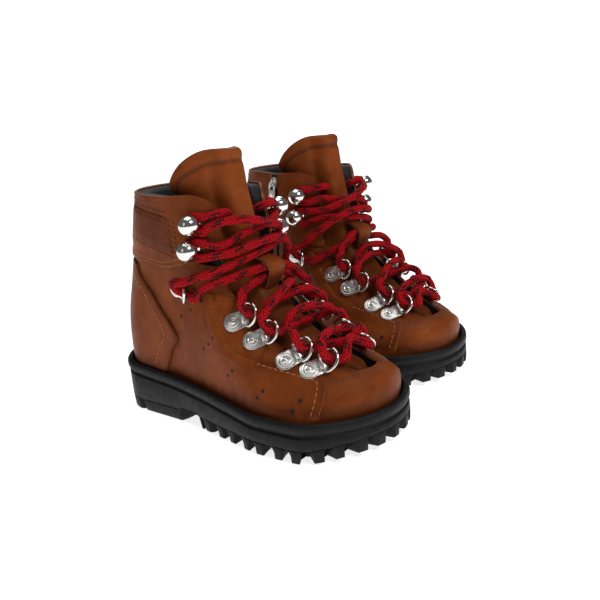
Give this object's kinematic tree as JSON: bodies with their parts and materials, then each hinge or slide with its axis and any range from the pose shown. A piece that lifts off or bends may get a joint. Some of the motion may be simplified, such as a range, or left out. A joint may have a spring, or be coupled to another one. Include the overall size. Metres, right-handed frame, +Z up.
{
  "type": "pair of hiking boots",
  "caption": "Pair of ankle-high lace-up leather hiking boots with D-ring eyelets, ball hooks, inside zip and lugged rubber sole.",
  "frame": {"origin": "centre of the pair's bounding box, on the floor", "axes": "+Z up, toes towards -Y, heels towards +Y, right boot at -X and left boot at +X"},
  "size_m": [0.187, 0.2018, 0.1488],
  "materials": {
    "sole": "matt moulded rubber",
    "footbed": "textile-topped foam",
    "leather": "semi-gloss tan leather with darker shading",
    "lining": "black woven lining",
    "zip_tape": "black woven tape with moulded teeth",
    "hardware": "polished nickel plate",
    "lace": "braided red cord with small black flecks"
  },
  "bodies": {
    "right_boot": {"right_outsole": "sole", "right_footbed": "footbed", "right_vamp": "leather", "right_lateral_quarter": "leather", "right_medial_quarter": "leather", "right_heel_counter": "leather", "right_cuff": "leather", "right_medial_cuff": "leather", "right_tongue_lower": "leather", "right_lining": "lining", "right_pull_loop": "leather", "right_zip_tape": "zip_tape", "right_lateral_clips": "hardware", "right_medial_clips": "hardware", "right_lateral_hooks": "hardware", "right_medial_hooks": "hardware", "right_lace": "lace"},
    "right_tongue_upper": {"right_tongue_upper": "leather"},
    "right_zip_slider": {"right_zip_slider": "hardware"},
    "right_zip_pull": {"right_zip_pull": "hardware"},
    "right_lateral_ring_1": {"right_lateral_ring_1": "hardware"},
    "right_lateral_ring_2": {"right_lateral_ring_2": "hardware"},
    "right_lateral_ring_3": {"right_lateral_ring_3": "hardware"},
    "right_lateral_ring_4": {"right_lateral_ring_4": "hardware"},
    "right_lateral_ring_5": {"right_lateral_ring_5": "hardware"},
    "right_medial_ring_1": {"right_medial_ring_1": "hardware"},
    "right_medial_ring_2": {"right_medial_ring_2": "hardware"},
    "right_medial_ring_3": {"right_medial_ring_3": "hardware"},
    "right_medial_ring_4": {"right_medial_ring_4": "hardware"},
    "right_medial_ring_5": {"right_medial_ring_5": "hardware"},
    "left_boot": {"left_outsole": "sole", "left_footbed": "footbed", "left_vamp": "leather", "left_lateral_quarter": "leather", "left_medial_quarter": "leather", "left_heel_counter": "leather", "left_cuff": "leather", "left_medial_cuff": "leather", "left_tongue_lower": "leather", "left_lining": "lining", "left_pull_loop": "leather", "left_zip_tape": "zip_tape", "left_lateral_clips": "hardware", "left_medial_clips": "hardware", "left_lateral_hooks": "hardware", "left_medial_hooks": "hardware", "left_lace": "lace"},
    "left_tongue_upper": {"left_tongue_upper": "leather"},
    "left_zip_slider": {"left_zip_slider": "hardware"},
    "left_zip_pull": {"left_zip_pull": "hardware"},
    "left_lateral_ring_1": {"left_lateral_ring_1": "hardware"},
    "left_lateral_ring_2": {"left_lateral_ring_2": "hardware"},
    "left_lateral_ring_3": {"left_lateral_ring_3": "hardware"},
    "left_lateral_ring_4": {"left_lateral_ring_4": "hardware"},
    "left_lateral_ring_5": {"left_lateral_ring_5": "hardware"},
    "left_medial_ring_1": {"left_medial_ring_1": "hardware"},
    "left_medial_ring_2": {"left_medial_ring_2": "hardware"},
    "left_medial_ring_3": {"left_medial_ring_3": "hardware"},
    "left_medial_ring_4": {"left_medial_ring_4": "hardware"},
    "left_medial_ring_5": {"left_medial_ring_5": "hardware"}
  },
  "joints": [
    {"name": "left_boot_slide", "type": "slide", "parent": "right_boot", "child": "left_boot", "axis": [1, 0, 0], "range_m": [0, 0.1]},
    {"name": "right_tongue_flex", "type": "hinge", "parent": "right_boot", "child": "right_tongue_upper", "pos_m": [-0.05183, -0.01654, 0.12076], "axis": [1, 0, 0], "range_deg": [0, 30], "stiffness_Nm_per_rad": 0.05},
    {"name": "right_zip_slide", "type": "slide", "parent": "right_boot", "child": "right_zip_slider", "axis": [-0.0576, 0.213, -0.9753], "range_m": [0, 0.0466]},
    {"name": "right_zip_pull_swing", "type": "hinge", "parent": "right_zip_slider", "child": "right_zip_pull", "pos_m": [-0.01933, 0.01237, 0.12112], "axis": [-0.0392, -0.9767, -0.211], "range_deg": [0, 120]},
    {"name": "right_lateral_ring_1_swing", "type": "hinge", "parent": "right_boot", "child": "right_lateral_ring_1", "pos_m": [-0.08139, 0.00837, 0.07709], "axis": [0.0399, -0.0805, 0.996], "range_deg": [-4, 4]},
    {"name": "right_lateral_ring_2_swing", "type": "hinge", "parent": "right_boot", "child": "right_lateral_ring_2", "pos_m": [-0.07523, -0.03072, 0.06473], "axis": [0.333, 0.4722, 0.8161], "range_deg": [-4, 4]},
    {"name": "right_lateral_ring_3_swing", "type": "hinge", "parent": "right_boot", "child": "right_lateral_ring_3", "pos_m": [-0.07413, -0.04262, 0.05689], "axis": [0.333, 0.5901, 0.7355], "range_deg": [-4, 4]},
    {"name": "right_lateral_ring_4_swing", "type": "hinge", "parent": "right_boot", "child": "right_lateral_ring_4", "pos_m": [-0.07057, -0.06031, 0.04802], "axis": [0.3121, 0.696, 0.6467], "range_deg": [-4, 4]},
    {"name": "right_lateral_ring_5_swing", "type": "hinge", "parent": "right_boot", "child": "right_lateral_ring_5", "pos_m": [-0.06652, -0.07203, 0.04356], "axis": [0.3921, 0.7295, 0.5604], "range_deg": [-4, 4]},
    {"name": "right_medial_ring_1_swing", "type": "hinge", "parent": "right_boot", "child": "right_medial_ring_1", "pos_m": [-0.02261, -0.00235, 0.074], "axis": [0.0569, -0.0119, -0.9983], "range_deg": [-4, 4]},
    {"name": "right_medial_ring_2_swing", "type": "hinge", "parent": "right_boot", "child": "right_medial_ring_2", "pos_m": [-0.0299, -0.03069, 0.06499], "axis": [0.2513, -0.4815, -0.8396], "range_deg": [-4, 4]},
    {"name": "right_medial_ring_3_swing", "type": "hinge", "parent": "right_boot", "child": "right_medial_ring_3", "pos_m": [-0.03115, -0.04294, 0.05674], "axis": [0.3377, -0.5324, -0.7763], "range_deg": [-4, 4]},
    {"name": "right_medial_ring_4_swing", "type": "hinge", "parent": "right_boot", "child": "right_medial_ring_4", "pos_m": [-0.0329, -0.05972, 0.04896], "axis": [0.2682, -0.7831, -0.561], "range_deg": [-4, 4]},
    {"name": "right_medial_ring_5_swing", "type": "hinge", "parent": "right_boot", "child": "right_medial_ring_5", "pos_m": [-0.03397, -0.0722, 0.04389], "axis": [0.4638, -0.7224, -0.5128], "range_deg": [-4, 4]},
    {"name": "left_tongue_flex", "type": "hinge", "parent": "left_boot", "child": "left_tongue_upper", "pos_m": [0.05081, -0.00012, 0.12076], "axis": [0.9978, -0.0663, 0], "range_deg": [0, 30], "stiffness_Nm_per_rad": 0.05},
    {"name": "left_zip_slide", "type": "slide", "parent": "left_boot", "child": "left_zip_slider", "axis": [0.0716, 0.2087, -0.9753], "range_m": [0, 0.0466]},
    {"name": "left_zip_pull_swing", "type": "hinge", "parent": "left_zip_slider", "child": "left_zip_pull", "pos_m": [0.0203, 0.03088, 0.12112], "axis": [0.0256, 0.9772, 0.211], "range_deg": [0, 120]},
    {"name": "left_lateral_ring_1_swing", "type": "hinge", "parent": "left_boot", "child": "left_lateral_ring_1", "pos_m": [0.08196, 0.02278, 0.07709], "axis": [0.0452, 0.0777, -0.996], "range_deg": [-4, 4]},
    {"name": "left_lateral_ring_2_swing", "type": "hinge", "parent": "left_boot", "child": "left_lateral_ring_2", "pos_m": [0.07322, -0.01582, 0.06473], "axis": [0.301, -0.4933, -0.8161], "range_deg": [-4, 4]},
    {"name": "left_lateral_ring_3_swing", "type": "hinge", "parent": "left_boot", "child": "left_lateral_ring_3", "pos_m": [0.07133, -0.02762, 0.05689], "axis": [0.2931, -0.6108, -0.7355], "range_deg": [-4, 4]},
    {"name": "left_lateral_ring_4_swing", "type": "hinge", "parent": "left_boot", "child": "left_lateral_ring_4", "pos_m": [0.06661, -0.04503, 0.04802], "axis": [0.2653, -0.7151, -0.6467], "range_deg": [-4, 4]},
    {"name": "left_lateral_ring_5_swing", "type": "hinge", "parent": "left_boot", "child": "left_lateral_ring_5", "pos_m": [0.0618, -0.05647, 0.04356], "axis": [0.3429, -0.7539, -0.5604], "range_deg": [-4, 4]},
    {"name": "left_medial_ring_1_swing", "type": "hinge", "parent": "left_boot", "child": "left_medial_ring_1", "pos_m": [0.0226, 0.01597, 0.074], "axis": [0.0576, 0.0081, 0.9983], "range_deg": [-4, 4]},
    {"name": "left_medial_ring_2_swing", "type": "hinge", "parent": "left_boot", "child": "left_medial_ring_2", "pos_m": [0.02799, -0.01279, 0.06499], "axis": [0.2826, 0.4638, 0.8396], "range_deg": [-4, 4]},
    {"name": "left_medial_ring_3_swing", "type": "hinge", "parent": "left_boot", "child": "left_medial_ring_3", "pos_m": [0.02843, -0.0251, 0.05674], "axis": [0.3722, 0.5088, 0.7763], "range_deg": [-4, 4]},
    {"name": "left_medial_ring_4_swing", "type": "hinge", "parent": "left_boot", "child": "left_medial_ring_4", "pos_m": [0.02907, -0.04195, 0.04896], "axis": [0.3196, 0.7636, 0.561], "range_deg": [-4, 4]},
    {"name": "left_medial_ring_5_swing", "type": "hinge", "parent": "left_boot", "child": "left_medial_ring_5", "pos_m": [0.02931, -0.05448, 0.04389], "axis": [0.5107, 0.6901, 0.5128], "range_deg": [-4, 4]}
  ]
}
